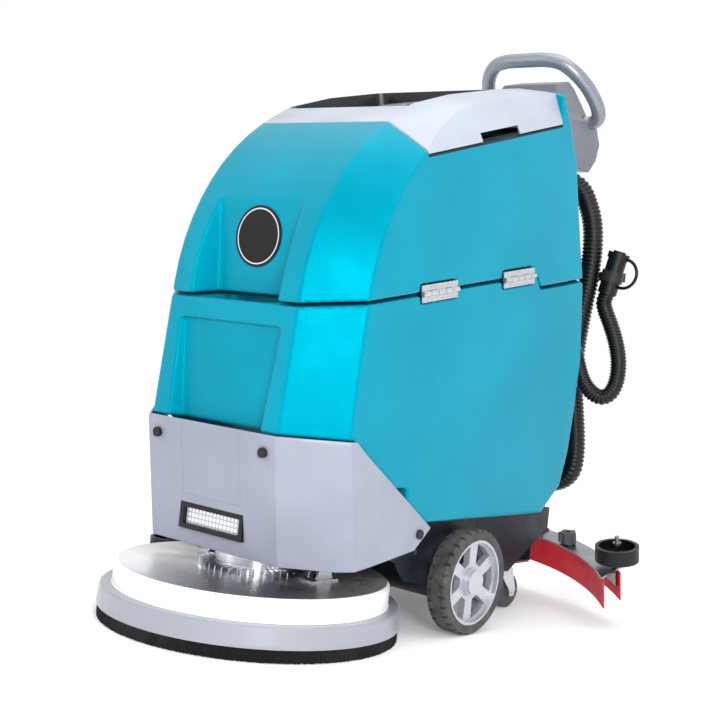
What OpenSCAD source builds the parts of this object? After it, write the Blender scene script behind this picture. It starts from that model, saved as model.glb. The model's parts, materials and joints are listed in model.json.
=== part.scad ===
// Walk-behind wet dry floor scrubber.
// Frame: +Z up, the front of the machine faces -Y, the floor is z = 0 and
// the origin is on the floor under the middle of the machine's box.

/* [Body] */
// Half of the tanks' width at the bottom
body_half_w = 250; // [220:1:280]
// How much each side leans in from the bottom to the top of the tanks
side_draft = 12; // [0:1:30]
// Height of the parting line at the front of the tanks
seam_z = 604; // [560:1:660]
// Slope of the parting line, rising to the rear
seam_slope = 10.5; // [0:0.5:14]
// Gap between the two tanks
seam_gap = 6; // [3:0.5:8]
// Drop of the parting line behind the hinges
seam_step = 26; // [10:1:40]
// Distance from the brush centre to the rear wall of the tanks
rear_y = 736; // [700:1:800]
// Wall of the moulded tanks
tank_wall = 6; // [4:0.5:8]
// Height of the underside of the solution tank
tank_floor_z = 224; // [215:1:250]
// Half of the flat front face, between its two chamfers
front_half_w = 158; // [130:1:170]
// Depth of the panel that is set back in the front face
panel_y = -76; // [-90:1:-60]
// Half of the width of that panel at its foot
panel_half_w = 83; // [60:1:95]

/* [Lid] */
// Height of the lid's lower edge at its front
lid_front_z = 895; // [880:1:920]
// Slope of the lid, rising to the rear
lid_slope = 16.5; // [10:0.5:20]
// Wall of the lid
lid_wall = 4; // [3:0.5:6]
// Radius of the inspection window in the lid
window_r = 62; // [40:1:70]

/* [Front cover] */
// Height of the cover's upper edge at the front
cover_top_z = 369; // [340:1:400]
// Height of the cover's lower edge at the front
cover_low_z = 146; // [140:1:170]
// How far the cover stands proud of the tanks
cover_proud = 7; // [4:0.5:10]
// Wall of the cover
cover_wall = 4; // [3:0.5:6]

/* [Drive wheels] */
// Radius of each drive wheel
wheel_r = 103; // [90:1:120]
// Width of each tyre
tyre_w = 45; // [35:1:55]
// Distance from the middle to the outer face of each wheel
wheel_face_x = 271; // [260:1:285]
// Distance from the brush centre to the wheel axle
wheel_y = 342; // [320:1:360]
// Radius of the wheel rim, inside the tyre
rim_r = 83; // [70:1:88]
// Radius of the drive axle
axle_r = 10; // [8:0.5:14]

/* [Casters] */
// Radius of each rear caster wheel
caster_r = 37; // [30:1:45]
// Distance from the middle to each caster
caster_x = 150; // [120:1:170]
// Distance from the brush centre to the casters' swivel axis
caster_y = 610; // [580:1:640]

/* [Brush deck] */
// Radius of the splash skirt
skirt_r = 280; // [250:1:300]
// Radius of the deck's upper step
deck_r = 258; // [240:1:268]
// Height of the deck's top plate above the floor
deck_top_z = 105; // [95:1:112]
// Height of the step between the deck's two rings
deck_step_z = 62; // [50:1:70]
// Visible height of the skirt's bristles
skirt_h = 24; // [15:1:30]
// Radius of the scrubbing brush
brush_r = 250; // [220:1:254]
// Radius of the brush motor
deck_motor_r = 72; // [60:1:80]

/* [Squeegee] */
// Half of the squeegee blades' width
squeegee_half_w = 381; // [350:1:420]
// Depth of the squeegee's arc from its ends to its middle
squeegee_sag = 155; // [120:1:180]
// Angle by which the squeegee is raised off the floor
squeegee_lift = 13; // [10:0.5:15]
// Radius of the wall rollers
roller_r = 46; // [35:1:50]

/* [Handle] */
// Radius of the handle tube
handle_r = 16; // [12:0.5:18]
// Half of the console's width
console_half_w = 122; // [114:1:124]

/* [Hoses] */
// Diameter of the suction hose
suction_d = 46; // [38:1:50]
// Diameter of the drain hose
drain_d = 36; // [30:1:38]

/* [Hidden] */
$fn = 96;
eps = 0.5;
console_rear_y = 888;
console_floor_z = 976;
origin_y = (skirt_r + 3 - console_rear_y) / 2;
front_r = 446;
front_foot_y = -146;
front_lean = 4.6;
arc_foot = [-126, 620];
arc_mid = [arc_foot[0] + front_r * cos(front_lean), arc_foot[1] - front_r * sin(front_lean)];
lid_y0 = 86;
lid_gap = 1;
lid_rear_y = 528;
panel_lean = 25.7;
chassis_half_w = 205;
chassis_wall = 4;
chassis_top_z = tank_floor_z;
chassis_rear_y = caster_y + 90;
caster_plate_z = 2 * caster_r + 32;
pivot_r = 6;
running_gap = 0.05;
column_half_w = 88;
column_y = [742, 790];
column_foot_z = 184;
bay_half_w = 190;
bay_y = [150, 520];
bay_floor_z = 244;
motor_bay_y = [526, 672];
motor_floor_z = bay_floor_z + 110;
battery = [168, 320, 215];
pivot_y = 470;
pivot_z = 150;
squeegee_r = (pow(squeegee_half_w, 2) + pow(squeegee_sag, 2)) / (2 * squeegee_sag);
squeegee_apex_y = 856;
squeegee_mid_y = squeegee_apex_y - squeegee_r;
plate_z = 60;
plate_t = 4;
carrier_half_w = 120;
squeegee_end_y = squeegee_mid_y + sqrt(pow(squeegee_r, 2) - pow(squeegee_half_w, 2));
roller_pos = [361, squeegee_end_y + 24, plate_z + 34];
arm_pivot = [130, 225, 158];
arm_pin = [130, 40, 136];
arm_pin_r = 5;
hinge_x = 247;
hinge_y = [160, 420];
hinge_half = 55;
window_at = 336;
opening_half_w = 196;
rear_chamfer_w = 42;
lamp_w = 80;
lamp_h = 24;
lamp_z = 199;
lamp_rim = 9;
panel_w = 54;
panel_h = 29;
button_x = [-34, 0];
button_r = 8;
key_x = 34;
key_r = 8;
handle_points = [
    [96, 846, 1086],
    [116, 852, 1088],
    [136, 842, 1100],
    [141, 820, 1124],
    [134, 790, 1153],
    [116, 760, 1181],
    [88, 740, 1202],
    [54, 733, 1209]];
// Hose spigots of the recovery tank: x, first y, last y, z and diameter
tank_spigots = [[118, 630, 742, 940, 46], [136, 679, 760, 790, 36]];
suction_route = [
    [118, 760, 940],
    [121, 773, 941],
    [132, 786, 937],
    [146, 795, 922],
    [158, 800, 898],
    [170, 802, 868],
    [178, 802, 836],
    [182, 802, 796],
    [182, 802, 760],
    [180, 802, 722],
    [175, 802, 680],
    [170, 802, 630],
    [166, 802, 570],
    [168, 802, 500],
    [178, 803, 440],
    [188, 804, 380],
    [191, 806, 335],
    [186, 808, 302],
    [168, 811, 280],
    [140, 813, 268],
    [108, 816, 263],
    [74, 818, 261],
    [46, 820, 255],
    [26, 821, 243],
    [15, 826.4, 224],
    [15, 831.2, 203.4]];
drain_route = [
    [136, 776, 790],
    [136, 784, 789],
    [135, 795, 780],
    [134, 800, 762],
    [133, 798, 735],
    [134, 788, 705],
    [142, 772, 675],
    [154, 760, 645],
    [171, 756, 610],
    [187, 757, 575],
    [200, 758, 545],
    [210, 761, 518],
    [222, 768, 494],
    [238, 780, 477],
    [254, 791, 473],
    [268, 800, 486],
    [275, 806, 515],
    [273, 808, 555],
    [260, 810, 596],
    [242, 811, 633],
    [226, 811, 662],
    [220, 811, 681],
    [224, 812, 700]];
float_at = [0, 500];
float_z = 846;
float_r = 22;
float_seat_r = 18;
stand_at = [0, 599];
lid_hinge_y = [170, 400];
lid_hinge_x = -247;
port_at = [15, squeegee_apex_y - 22];
port_h = 60;
step_y = hinge_y[1] + hinge_half + 12;
step_run = 22;
vacuum_r = 66;
stand_r = 27;
stand_bore_r = 22;
spigot_wall = 4;
knob_x = [95, 200];
cuff_l = 14;
cuff_foot = drain_route[len(drain_route) - 1];
cuff_top = [240, 815, 778];
cuff_axis = unit(cuff_top - cuff_foot);
caster_trail = 32;
caster_w = 26;
kingpin_r = 6;
caster_axle_r = 5;
roller_at = [-300, 62, 92];
fin_r = 102;
fin_h = 11;
roller_pin_r = 5;
brush_top_z = 56;

// Points of an arc, from angle a to angle b in n steps
function arc_points(mid, r, a, b, n) =
    [for (i = [0:n]) [mid[0] + r * cos(a + (b - a) * i / n), mid[1] + r * sin(a + (b - a) * i / n)]];

// Height of the parting line and of the lid's lower edge at a given y
function seam_at(y) = seam_z + (y + 126) * tan(seam_slope);
function lid_at(y) = lid_front_z + (y - lid_y0) * tan(lid_slope);

// Height of the parting line behind its step
function rear_seam_at(y) = seam_at(y - step_run) - seam_step;

// Outline of the tanks and the lid from the side, drawn in by a margin
function front_outline(m) = concat(
    [[front_foot_y + 41 + m, 140], [front_foot_y + m, cover_top_z]],
    [for (p = arc_points(arc_mid, front_r, 180 - front_lean, 120, 10)) [p[0] + m * 0.8, p[1] - m * 0.3]],
    [[140, 998 - m], [250, 1036 - m], [400, 1075 - m], [505, 1098 - m]]);
function rear_outline(m) = [
    [rear_y - 178 - m, 1092 - m],
    [rear_y - 136 - m, 1030],
    [rear_y - 98 - m, 955],
    [rear_y - 78 - m, 886],
    [rear_y - 46 - m, 784],
    [rear_y - 24 - m, 721],
    [rear_y - 9 - m, 615],
    [rear_y - m, 550],
    [rear_y - 3 - m, 463],
    [rear_y - 13 - m, 354],
    [rear_y - 33 - m, 280],
    [rear_y - 195 - m, 140]];

module place() {
    translate([0, origin_y, 0])
        children();
}

module both_sides() {
    children();
    mirror([1, 0, 0])
        children();
}

// A profile in the (y, z) plane, extruded along x
module side_extrude(half_w) {
    translate([-half_w, 0, 0])
        rotate([90, 0, 90])
            linear_extrude(height = 2 * half_w)
                children();
}

// A plain block between two corners
module block(low, high) {
    translate(low)
        cube(high - low);
}

// A block with upright round corners
module round_block(low, high, r) {
    translate([0, 0, low[2]])
        linear_extrude(height = high[2] - low[2])
            round_rect([low[0], low[1]], [high[0], high[1]], r);
}

module round_rect(low, high, r) {
    translate([low[0] + r, low[1]])
        square([high[0] - low[0] - 2 * r, high[1] - low[1]]);
    translate([low[0], low[1] + r])
        square([high[0] - low[0], high[1] - low[1] - 2 * r]);
    for (x = [low[0] + r, high[0] - r], y = [low[1] + r, high[1] - r])
        translate([x, y])
            circle(r = r);
}

// A cylinder along x
module x_rod(x0, x1, y, z, r) {
    translate([x0, y, z])
        rotate([0, 90, 0])
            cylinder(h = x1 - x0, r = r);
}

// A cylinder between two points
module rod(a, b, r) {
    d = b - a;
    translate(a)
        rotate([0, acos(d[2] / norm(d)), atan2(d[1], d[0])])
            cylinder(h = norm(d), r = r);
}

// A bent bar through a list of points
module rod_path(points, r) {
    for (i = [0:len(points) - 2])
        rod(points[i], points[i + 1], r);
    for (i = [1:len(points) - 2])
        translate(points[i])
            sphere(r = r + 0.1, $fn = 48);
}

// The outer form of tanks and lid together, drawn in by a margin
module body_form(m) {
    intersection() {
        side_extrude(body_half_w + 30)
            polygon(concat(front_outline(m), rear_outline(m)));
        rotate([90, 0, 0])
            translate([0, 0, -1000])
                linear_extrude(height = 1300)
                    polygon([
                        [-body_half_w + m, 140],
                        [-body_half_w + m + side_draft, 1120],
                        [body_half_w - m - side_draft, 1120],
                        [body_half_w - m, 140]]);
        front_chamfer(m);
        mirror([1, 0, 0])
            front_chamfer(m);
        rear_chamfer(m);
        mirror([1, 0, 0])
            rear_chamfer(m);
    }
}

// The chamfers of the upright corners run along the same side outline
module front_chamfer(m) {
    rotate([0, 0, 45])
        translate([-600, 0, 0])
            rotate([90, 0, 90])
                linear_extrude(height = 1800)
                    polygon(concat(
                        [for (p = front_outline(0)) [(p[0] - front_half_w) / sqrt(2) + m, p[1]]],
                        [[900, 1098], [900, 140]]));
}

module rear_chamfer(m) {
    edge = body_half_w - side_draft / 2 - rear_chamfer_w;
    rotate([0, 0, -45])
        translate([-1400, 0, 0])
            rotate([90, 0, 90])
                linear_extrude(height = 2200)
                    polygon(concat(
                        [for (p = rear_outline(0)) [(p[0] + edge) / sqrt(2) - m, p[1]]],
                        [[-900, 140], [-900, 1092]]));
}

// Everything under the parting line, which steps down behind the hinges
module below_seam(drop) {
    side_extrude(400)
        polygon([
            [-400, 100],
            [-400, seam_at(-126) - drop],
            [-126, seam_at(-126) - drop],
            [step_y, seam_at(step_y) - drop],
            [step_y + step_run, rear_seam_at(step_y + step_run) - drop],
            [900, rear_seam_at(900) - drop],
            [900, 100]]);
}

// The room of the lid, grown by a margin
module lid_room(g) {
    side_extrude(400)
        polygon([
            [lid_y0 - 16 - g, lid_front_z + 46 - g],
            [lid_y0 + 4 - g, lid_at(lid_y0 + 4) - g],
            [lid_rear_y + g, lid_at(lid_rear_y) - g],
            [lid_rear_y - 22 + g, 1200],
            [lid_y0 - 16 - g - (1154 - lid_front_z) * tan(lid_slope), 1200]]);
}

// The panel that is set back in the front face
module panel_cut(depth_y, z0, z1, half_w) {
    difference() {
        block([-front_half_w + 20, -260, z0], [front_half_w - 20, depth_y, z1]);
        both_sides()
            translate([half_w, depth_y, z0])
                rotate([0, 5, panel_lean])
                    translate([0, -400, -400])
                        cube([400, 800, 1200]);
    }
}

// ---- Chassis ----

module chassis_frame() {
    place()
        color([0.15, 0.19, 0.24]) {
            both_sides()
                chassis_side();
            block(
                [-chassis_half_w + chassis_wall, 130, chassis_top_z - chassis_wall],
                [chassis_half_w - chassis_wall, chassis_rear_y, chassis_top_z]);
            block(
                [-chassis_half_w + chassis_wall, chassis_rear_y - chassis_wall, 178],
                [chassis_half_w - chassis_wall, chassis_rear_y, chassis_top_z - chassis_wall]);
            both_sides()
                for (y = [caster_y - 46, caster_y + 42])
                    block(
                        [caster_x - 46, y, caster_plate_z + 4],
                        [caster_x + 46, y + chassis_wall, chassis_top_z - chassis_wall]);
            // foot plate of the rear column, with two gussets
            block(
                [-column_half_w, chassis_rear_y - chassis_wall, 178],
                [column_half_w, column_y[1], column_foot_z]);
            both_sides()
                translate([60, 0, 0])
                    rotate([90, 0, 90])
                        linear_extrude(height = chassis_wall)
                            polygon([
                                [chassis_rear_y - 1, column_foot_z - 1],
                                [column_y[0] - 2, column_foot_z - 1],
                                [chassis_rear_y - 1, chassis_top_z - 2]]);
        }
}

module chassis_side() {
    difference() {
        translate([chassis_half_w - chassis_wall, 0, 0])
            rotate([90, 0, 90])
                linear_extrude(height = chassis_wall)
                    polygon([
                        [70, chassis_top_z],
                        [70, 176],
                        [164, 142],
                        [200, 104],
                        [240, 96],
                        [560, 96],
                        [chassis_rear_y, 178],
                        [chassis_rear_y, chassis_top_z]]);
        x_rod(0, 400, wheel_y, wheel_r, axle_r + eps);
        x_rod(0, 400, arm_pivot[1], arm_pivot[2], pivot_r + running_gap);
        x_rod(0, 400, pivot_y, pivot_z, pivot_r + running_gap);
    }
}

module drive_axle() {
    place()
        color([0.1, 0.1, 0.11]) {
            // axle, gearbox and motor
            x_rod(-wheel_face_x + 14, wheel_face_x - 14, wheel_y, wheel_r, axle_r);
            x_rod(-56, 56, wheel_y, wheel_r, 58);
            x_rod(56, 178, wheel_y - 18, wheel_r - 2, 42);
            both_sides()
                x_rod(chassis_half_w - 22, chassis_half_w - chassis_wall, wheel_y, wheel_r, 26);
            block([-40, wheel_y - 40, wheel_r + 20], [40, wheel_y + 40, chassis_top_z - chassis_wall]);
        }
}

module battery_box(x0) {
    difference() {
        block([x0, bay_y[0] + 10, bay_floor_z], [x0, bay_y[0] + 10, bay_floor_z] + battery);
        for (y = [bay_y[0] + 60, bay_y[0] + 270])
            block(
                [x0 + 20, y, bay_floor_z + battery[2] - 9],
                [x0 + battery[0] - 20, y + 14, bay_floor_z + battery[2] + 10]);
    }
    for (y = [bay_y[0] + 36, bay_y[0] + 304])
        translate([x0 + battery[0] / 2, y, bay_floor_z + battery[2] - 1])
            cylinder(h = 16, r = 8);
}

module battery_left() {
    place()
        color([0.1, 0.1, 0.11])
            battery_box(6);
}

module battery_right() {
    place()
        color([0.1, 0.1, 0.11])
            battery_box(-6 - battery[0]);
}

module vacuum_motor() {
    pipe_top = rear_seam_at(stand_at[1] - stand_r) - eps;
    place()
        color([0.2, 0.2, 0.22])
            translate([stand_at[0], stand_at[1], 0]) {
                translate([0, 0, motor_floor_z + 40])
                    cylinder(h = 90, r = vacuum_r);
                translate([0, 0, motor_floor_z + 129])
                    cylinder(h = 92, r = vacuum_r - 16);
                // inlet pipe up to the recovery tank
                difference() {
                    translate([0, 0, motor_floor_z + 220])
                        cylinder(h = pipe_top - motor_floor_z - 220, r = stand_r - 1);
                    translate([0, 0, motor_floor_z + 230])
                        cylinder(h = 400, r = stand_bore_r);
                }
                // four feet
                for (a = [45:90:315])
                    rotate([0, 0, a])
                        translate([vacuum_r - 12, 0, motor_floor_z])
                            cylinder(h = 41, r = 7);
            }
}

// ---- Solution tank ----

module solution_tank() {
    place()
        color([0, 0.62, 0.72])
            difference() {
                intersection() {
                    body_form(0);
                    below_seam(seam_gap);
                    block([-400, -400, tank_floor_z], [400, 1000, 900]);
                }
                // room for the front cover and the brush motor
                block([-400, -400, 100], [400, 120, cover_top_z - 78]);
                cover_region(1, 0.6);
                panel_cut(front_foot_y + 28, cover_top_z - 60, 560, panel_half_w + 14);
                // filler mouth behind the front lip
                round_block([-84, -112, 548], [84, -34, 700], 30);
                water_space();
                // battery bay, open at the top
                block([-bay_half_w, bay_y[0], bay_floor_z], [bay_half_w, bay_y[1], 900]);
                // bay of the vacuum motor
                block([-bay_half_w, motor_bay_y[0], motor_floor_z], [bay_half_w, motor_bay_y[1], 900]);
                hinge_pocket(-1);
            }
}

// The closed space for clean water, all round the two bays
module water_space() {
    t = tank_wall;
    difference() {
        intersection() {
            body_form(t);
            below_seam(seam_gap + t);
            block([-400, -400, tank_floor_z + t], [400, 1000, 900]);
        }
        block([-400, -400, 100], [400, 120 + t, cover_top_z - 78 + t]);
        block([-bay_half_w - t, bay_y[0] - t, 100], [bay_half_w + t, bay_y[1] + t, 900]);
        block([-bay_half_w - t, bay_y[1], motor_floor_z - t], [bay_half_w + t, motor_bay_y[1] + t, 900]);
        panel_cut(front_foot_y + 28 + t, cover_top_z - 90, 700, panel_half_w + 14);
        round_block([-84 - t, -120, 548 - t], [84 + t, -34 + t, 700], 30);
        cover_region(t + 2, t);
        hinge_guard(t);
    }
}

module filler_strainer() {
    place()
        color([0.05, 0.05, 0.06])
            difference() {
                round_block([-60, -104, 548], [60, -42, 572], 26);
                round_block([-56, -100, 552], [56, -46, 580], 24);
                for (x = [-44:11:44])
                    block([x - 3, -94, 540], [x + 3, -52, 560]);
            }
}

// ---- Front cover ----

// The side outline of the wrap-around cover
module cover_region(g, top_gap) {
    side_extrude(400)
        polygon([
            [-400, 100],
            [-400, cover_top_z + top_gap],
            [-44 + g, cover_top_z + 8 + top_gap],
            [-20 + g, cover_top_z - 10 + top_gap],
            [196 + g, 216 + top_gap],
            [150 + g, 176 - g],
            [30, cover_low_z + 10 - g],
            [-40, cover_low_z - g],
            [-40, 100]]);
}

module front_cover() {
    place()
        color([0.66, 0.68, 0.73])
            difference() {
                intersection() {
                    body_form(-cover_proud);
                    cover_region(0, 0);
                    block([-400, -400, cover_low_z], [400, 400, 500]);
                }
                body_form(cover_wall - cover_proud);
                // shallow panel above the lamp
                difference() {
                    block([-74, -260, 238], [74, 0, 500]);
                    body_form(2 - cover_proud);
                }
                // lamp opening
                block([-lamp_w, -260, lamp_z - lamp_h], [lamp_w, 0, lamp_z + lamp_h]);
                screw_holes();
            }
}

module screw_holes() {
    both_sides() {
        translate([134, -100, 343])
            rotate([90, 0, 0])
                cylinder(h = 100, r = 4);
        x_rod(200, 300, 160, 206, 4);
    }
}

module light_frame() {
    place()
        color([0.04, 0.04, 0.05])
            difference() {
                block([-lamp_w, -126, lamp_z - lamp_h], [lamp_w, -96, lamp_z + lamp_h]);
                block(
                    [-lamp_w + lamp_rim, -140, lamp_z - lamp_h + lamp_rim],
                    [lamp_w - lamp_rim, -101, lamp_z + lamp_h - lamp_rim]);
            }
}

module light_lens() {
    place()
        color([0.9, 0.93, 0.95]) {
            block(
                [-lamp_w + lamp_rim, -116, lamp_z - lamp_h + lamp_rim],
                [lamp_w - lamp_rim, -113, lamp_z + lamp_h - lamp_rim]);
            // five lamps behind the lens
            for (i = [-2:2])
                translate([i * 24, -101, lamp_z])
                    rotate([90, 0, 0])
                        cylinder(h = 8, r1 = 5, r2 = 9);
        }
}

module cover_screws() {
    place()
        color([0.2, 0.2, 0.22])
            both_sides() {
                translate([134, front_foot_y - 2, 343])
                    rotate([90, 0, 0])
                        cylinder(h = 7, r = 9);
                translate([134, front_foot_y + 12, 343])
                    rotate([90, 0, 0])
                        cylinder(h = 16, r = 3.5);
                x_rod(body_half_w + cover_proud - 3, body_half_w + cover_proud + 3.5, 160, 206, 9);
                x_rod(body_half_w - 14, body_half_w + cover_proud, 160, 206, 3.5);
            }
}

// ---- Rear column, console and handle ----

module rear_column() {
    place()
        color([0.45, 0.46, 0.5])
            difference() {
                round_block(
                    [-column_half_w, column_y[0], column_foot_z],
                    [column_half_w, column_y[1], console_floor_z], 12);
                round_block(
                    [-column_half_w + 5, column_y[0] + 5, column_foot_z + 5],
                    [column_half_w - 5, column_y[1] - 5, console_floor_z - 5], 8);
            }
}

// The console's outer form, drawn in by a margin
module console_form(m) {
    intersection() {
        side_extrude(200)
            polygon([
                [column_y[0] + m, console_floor_z + m],
                [column_y[0] + m, 1132],
                [column_y[0] + 14 + m, 1160 - m],
                [819, 1178 - m],
                [838 - m, 1165 - m],
                [868 - m, 1095],
                [console_rear_y - m, 1045],
                [886 - m, 1005],
                [866 - m, console_floor_z + m]]);
        rotate([90, 0, 0])
            translate([0, 0, -1000])
                linear_extrude(height = 600)
                    polygon([
                        [m - console_half_w + 10, 960],
                        [m - console_half_w, 1040],
                        [m - console_half_w + 4, 1082],
                        [m - console_half_w + 26, 1102],
                        [m - console_half_w + 60, 1182],
                        [console_half_w - m - 60, 1182],
                        [console_half_w - m - 26, 1102],
                        [console_half_w - m - 4, 1082],
                        [console_half_w - m, 1040],
                        [console_half_w - m - 10, 960]]);
    }
}

module console_body() {
    place()
        color([0.5, 0.51, 0.55])
            difference() {
                console_form(0);
                console_form(4);
                on_panel()
                    translate([-panel_w, -panel_h, -20])
                        cube([2 * panel_w, 2 * panel_h, 40]);
                both_sides()
                    rod(handle_points[0], handle_points[1], handle_r + running_gap);
            }
}

// The frame of the sloping rear panel: y runs up the slope and z out of it
module on_panel() {
    translate([0, 853, 1130])
        rotate([66.8, 0, 180])
            children();
}

module console_panel() {
    place()
        color([0.06, 0.06, 0.07])
            on_panel()
                difference() {
                    translate([-panel_w, -panel_h, -7])
                        cube([2 * panel_w, 2 * panel_h, 6]);
                    translate([-42, 2, -3])
                        cube([84, 22, 10]);
                    for (x = button_x)
                        translate([x, -14, -20])
                            cylinder(h = 40, r = button_r + 0.4);
                    translate([key_x, -14, -20])
                        cylinder(h = 40, r = key_r + running_gap);
                }
}

module button(x) {
    on_panel()
        translate([x, -14, -9])
            cylinder(h = 12, r = button_r);
}

module button_brush() {
    place()
        color([0.1, 0.5, 0.2])
            button(button_x[0]);
}

module button_vacuum() {
    place()
        color([0.1, 0.3, 0.6])
            button(button_x[1]);
}

module key_switch() {
    place()
        color([0.7, 0.7, 0.72])
            on_panel() {
                translate([key_x, -14, -16])
                    cylinder(h = 18, r = key_r);
                translate([key_x - 1.5, -21, 1.5])
                    cube([3, 14, 20]);
            }
}

module handle_tube() {
    place()
        color([0.55, 0.56, 0.6])
            rod_path(concat(
                handle_points,
                [for (i = [len(handle_points) - 1:-1:0])
                    [-handle_points[i][0], handle_points[i][1], handle_points[i][2]]]), handle_r);
}

// ---- Recovery tank ----

module recovery_tank() {
    place()
        color([0, 0.62, 0.74])
            difference() {
                union() {
                    lid_lugs(0);
                    difference() {
                        body_form(0);
                        below_seam(0);
                        lid_room(lid_gap);
                    }
                    // spigots of the two hoses
                    for (s = tank_spigots)
                        rod([s[0], s[1], s[3]], [s[0], s[2], s[3]], s[4] / 2);
                }
                tank_room();
                panel_cut(panel_y, 590, 830, panel_half_w);
                for (s = tank_spigots)
                    rod([s[0], s[1] - 10, s[3]], [s[0], s[2] + 10, s[3]], s[4] / 2 - spigot_wall);
                hinge_pocket(1);
                // socket of the standpipe
                translate([stand_at[0], stand_at[1], 600])
                    cylinder(h = 180, r = stand_r + running_gap);
            }
}

// The water space of the recovery tank and its opening under the lid
module tank_room() {
    difference() {
        intersection() {
            body_form(tank_wall);
            side_extrude(400)
                polygon([
                    [-400, 500],
                    [-400, lid_front_z - 40],
                    [lid_y0 - 20, lid_at(lid_y0 - 20) - 3 * tank_wall],
                    [lid_rear_y + 20, lid_at(lid_rear_y + 20) - 3 * tank_wall],
                    [900, lid_at(lid_rear_y) - 3 * tank_wall],
                    [900, 500]]);
        }
        below_seam(-tank_wall);
        block([-120, -400, 500], [120, panel_y + tank_wall, 1200]);
        hinge_guard(tank_wall);
    }
    block([-opening_half_w, lid_y0 + 44, lid_front_z - 60], [opening_half_w, lid_rear_y - 44, 1200]);
}

module tank_badge() {
    place()
        color([0.1, 0.08, 0.08])
            translate([0, panel_y, 719])
                rotate([90, 0, 0])
                    cylinder(h = 2.5, r = 56);
}

// ---- Side hinges of the recovery tank ----

// A frame on the hinge line: y runs along the line and x out of the machine's side
module on_hinge(y) {
    translate([hinge_x, y, seam_at(y) - seam_gap / 2])
        rotate([seam_slope, 0, 0])
            children();
}

// Pockets for the hinge leaves, in the upper or the lower tank
module hinge_pocket(side) {
    for (y = hinge_y)
        on_hinge(y) {
            translate([-30, -hinge_half - 2, side > 0 ? -5 : -18])
                cube([60, 2 * hinge_half + 4, 23]);
        }
}

// Room that the tanks' walls keep round the hinge pockets
module hinge_guard(t) {
    for (y = hinge_y)
        on_hinge(y)
            translate([-30 - t, -hinge_half - 2 - t, -20 - t])
                cube([60, 2 * hinge_half + 4 + 2 * t, 40 + 2 * t]);
}

module hinge_leaf(side) {
    for (y = hinge_y)
        on_hinge(y)
            difference() {
                union() {
                    translate([-28, -hinge_half, side > 0 ? 12 : -16])
                        cube([24, 2 * hinge_half, 4]);
                    translate([-5, -hinge_half, side > 0 ? 3 : -16])
                        cube([4, 2 * hinge_half, 13]);
                    for (i = [side > 0 ? 0 : 1:2:4])
                        translate([0, -hinge_half + 22 * i + 0.5, 0])
                            rotate([-90, 0, 0])
                                cylinder(h = 21, r = 5);
                }
                for (i = [side > 0 ? 1 : 0:2:4])
                    translate([-5.5, -hinge_half + 22 * i - 0.5, -5.5])
                        cube([11, 23, 11]);
                translate([0, -hinge_half - 1, 0])
                    rotate([-90, 0, 0])
                        cylinder(h = 2 * hinge_half + 2, r = 2.55);
            }
}

module tank_hinge_lower() {
    place()
        color([0.75, 0.75, 0.77])
            hinge_leaf(-1);
}

module tank_hinge_upper() {
    place()
        color([0.75, 0.75, 0.77])
            hinge_leaf(1);
}

module tank_hinge_pins() {
    place()
        color([0.8, 0.8, 0.82])
            for (y = hinge_y)
                on_hinge(y)
                    translate([0, -hinge_half, 0])
                        rotate([-90, 0, 0])
                            cylinder(h = 2 * hinge_half, r = 2.5);
}

// ---- Float shut-off inside the recovery tank ----

module float_cage() {
    place()
        color([0.85, 0.86, 0.88])
            difference() {
                union() {
                    // standpipe
                    translate([stand_at[0], stand_at[1], rear_seam_at(stand_at[1])])
                        cylinder(h = float_z + 82 - rear_seam_at(stand_at[1]), r = stand_r);
                    // air duct from the cage to the standpipe
                    block([-34, float_at[1] - 34, float_z + 78], [34, stand_at[1] + 29, float_z + 112]);
                    for (a = [30:60:330])
                        translate([float_at[0], float_at[1], float_z])
                            rotate([0, 0, a])
                                translate([30, 0, 0])
                                    cylinder(h = 79, r = 2.5);
                    translate([float_at[0], float_at[1], float_z])
                        cylinder(h = 4, r = 33);
                }
                translate([stand_at[0], stand_at[1], 600])
                    cylinder(h = float_z + 90 - 600, r = stand_bore_r);
                block([-31, float_at[1] - 31, float_z + 82], [31, stand_at[1] + 26, float_z + 109]);
                translate([float_at[0], float_at[1], float_z - 1])
                    cylinder(h = 86, r = float_seat_r);
            }
}

module float_ball() {
    place()
        color([0.95, 0.55, 0.1])
            translate([float_at[0], float_at[1], float_z + 4 + sqrt(pow(float_r, 2) - pow(float_seat_r, 2)) + eps])
                sphere(r = float_r);
}

// ---- Lid ----

// A frame on the lid's lower edge: y runs up the slope and z out of the lid
module on_lid(y) {
    translate([0, y, lid_at(y)])
        rotate([lid_slope, 0, 0])
            children();
}

// The lid's outer form, drawn in by a margin
module lid_form(m) {
    intersection() {
        body_form(m);
        lid_room(-m);
        on_lid(lid_y0)
            rotate([90, 0, 0])
                translate([0, 0, -900])
                    linear_extrude(height = 1400)
                        polygon([
                            [m - 243, -120],
                            [m - 241, 0],
                            [m - 214, 76],
                            [m - 204, 120],
                            [204 - m, 120],
                            [214 - m, 76],
                            [241 - m, 0],
                            [243 - m, -120]]);
    }
}

module tank_lid() {
    place()
        color([0.78, 0.8, 0.84]) {
            difference() {
                lid_form(0);
                intersection() {
                    lid_form(lid_wall);
                    union() {
                        on_lid(lid_y0)
                            block([-400, -200, -200], [400, 900, 51]);
                        difference() {
                            on_lid(lid_y0)
                                block([-400, -200, 0], [400, 900, 300]);
                            on_lid(window_at)
                                block([-154, -194, -100], [154, 104, 300]);
                        }
                    }
                }
                lid_room_floor();
                // recessed top with the window's hole
                on_lid(window_at)
                    round_block([-150, -190, 56], [150, 100, 300], 24);
                on_lid(window_at)
                    cylinder(h = 300, r = window_r + eps, center = true);
                // finger notch
                on_lid(310)
                    block([200, -60, -30], [260, 70, 17]);
            }
            lid_lugs(1);
        }
}

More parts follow.
